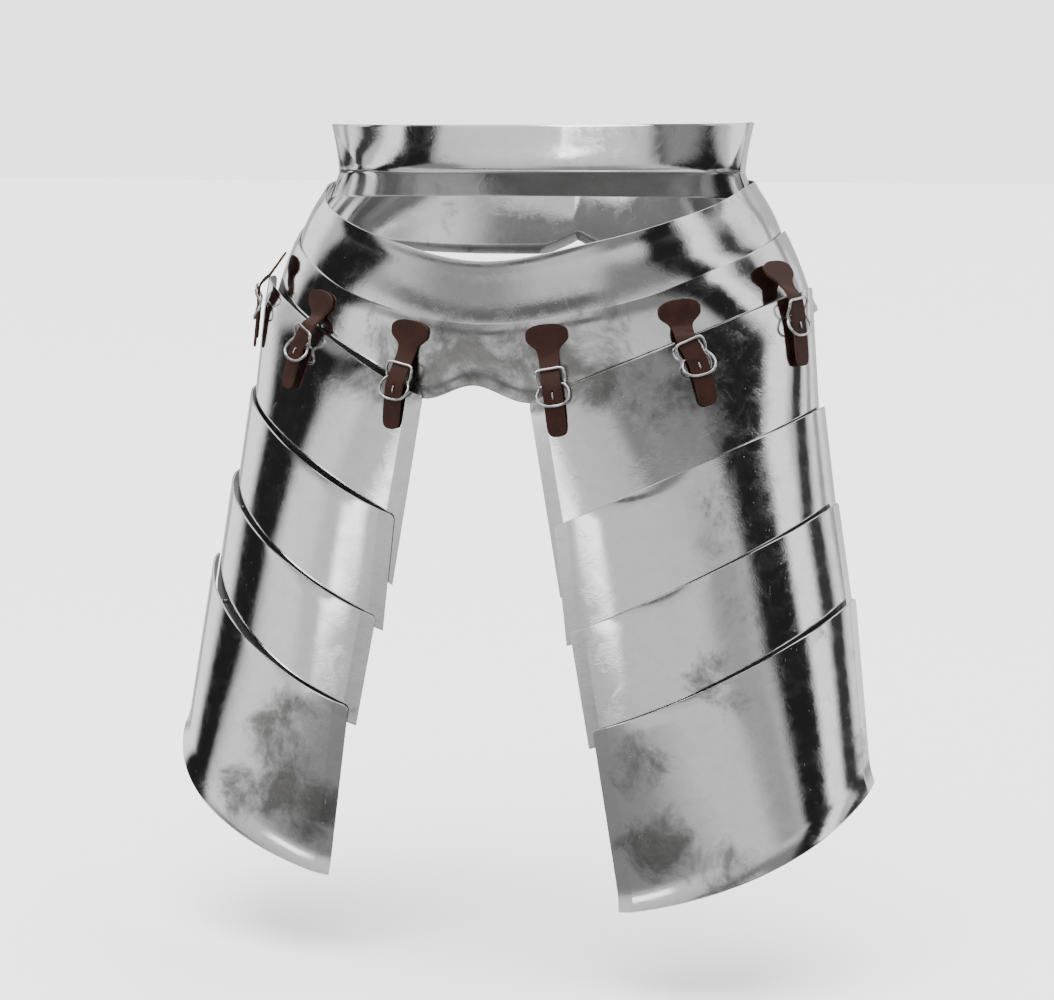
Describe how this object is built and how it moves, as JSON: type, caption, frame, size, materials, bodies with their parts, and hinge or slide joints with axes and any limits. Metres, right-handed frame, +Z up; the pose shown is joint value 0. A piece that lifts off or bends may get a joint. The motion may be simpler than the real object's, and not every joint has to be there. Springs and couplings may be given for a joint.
{
  "type": "waist armour",
  "caption": "Polished plate armour for the waist and hips: hoop with a half collar behind, front apron, and flared thigh plates of overlapping lames hung on buckled leather straps.",
  "frame": {"origin": "centre of the wearer's waist, level with the crease where the back collar turns outward", "axes": "+Z up along the wearer's body; -Y is the front, where the straps are; +X is the wearer's left"},
  "size_m": [0.6108, 0.2757, 0.6125],
  "materials": {
    "polished_steel": "mirror-polished plate with soft cloudy smudges and fine scratches",
    "wire_steel": "bright drawn wire",
    "brown_leather": "very dark brown smooth leather, lightly grained"
  },
  "bodies": {
    "root": {"back_collar": "polished_steel", "waist_hoop": "polished_steel", "hip_apron": "polished_steel", "right_tasset_lame_1": "polished_steel", "right_tasset_lame_2": "polished_steel", "right_tasset_lame_3": "polished_steel", "right_tasset_lame_4": "polished_steel", "left_tasset_lame_1": "polished_steel", "left_tasset_lame_2": "polished_steel", "left_tasset_lame_3": "polished_steel", "left_tasset_lame_4": "polished_steel", "right_front_strap": "brown_leather", "right_front_buckle": "wire_steel", "right_front_prong": "wire_steel", "right_front_chape": "brown_leather", "right_middle_strap": "brown_leather", "right_middle_buckle": "wire_steel", "right_middle_prong": "wire_steel", "right_middle_chape": "brown_leather", "right_side_strap": "brown_leather", "right_side_buckle": "wire_steel", "right_side_prong": "wire_steel", "right_side_chape": "brown_leather", "left_front_strap": "brown_leather", "left_front_buckle": "wire_steel", "left_front_prong": "wire_steel", "left_front_chape": "brown_leather", "left_middle_strap": "brown_leather", "left_middle_buckle": "wire_steel", "left_middle_prong": "wire_steel", "left_middle_chape": "brown_leather", "left_side_strap": "brown_leather", "left_side_buckle": "wire_steel", "left_side_prong": "wire_steel", "left_side_chape": "brown_leather", "right_collar_post": "polished_steel", "right_hip_post": "polished_steel", "right_lame_post_1a": "polished_steel", "right_lame_post_1b": "polished_steel", "right_lame_post_2a": "polished_steel", "right_lame_post_2b": "polished_steel", "right_lame_post_3a": "polished_steel", "right_lame_post_3b": "polished_steel", "left_collar_post": "polished_steel", "left_hip_post": "polished_steel", "left_lame_post_1a": "polished_steel", "left_lame_post_1b": "polished_steel", "left_lame_post_2a": "polished_steel", "left_lame_post_2b": "polished_steel", "left_lame_post_3a": "polished_steel", "left_lame_post_3b": "polished_steel"}
  },
  "joints": []
}
